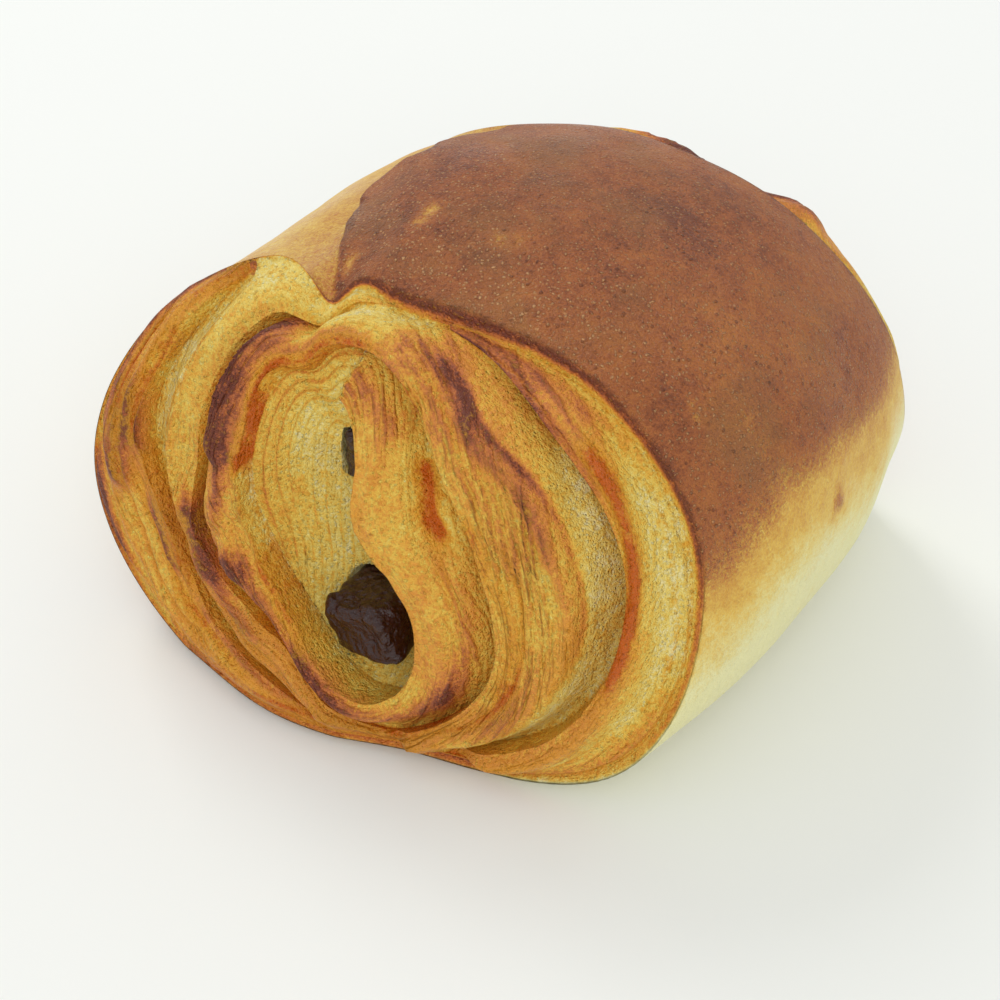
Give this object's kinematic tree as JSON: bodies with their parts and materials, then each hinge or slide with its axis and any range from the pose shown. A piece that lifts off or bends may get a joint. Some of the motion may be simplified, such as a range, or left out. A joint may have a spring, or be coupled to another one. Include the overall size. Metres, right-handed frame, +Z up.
{
  "type": "pain au chocolat",
  "caption": "Fat roll of laminated breakfast pastry with a browned crust, spiral layered ends and dark chocolate running through it.",
  "frame": {"origin": "on the surface that the pastry rests on, under the middle of its bounding box", "axes": "+Z up; Y along the axis of the roll, with the end that the picture shows towards -Y; +X across the roll, towards the side that the picture shows"},
  "size_m": [0.0938, 0.0924, 0.059],
  "materials": {
    "pastry": "egg-washed crust, satin brown on top, golden flaky layers at the ends",
    "chocolate": "melted and set dark chocolate, glossy"
  },
  "bodies": {
    "root": {"dough": "pastry", "baton_upper": "chocolate", "baton_lower": "chocolate"}
  },
  "joints": []
}
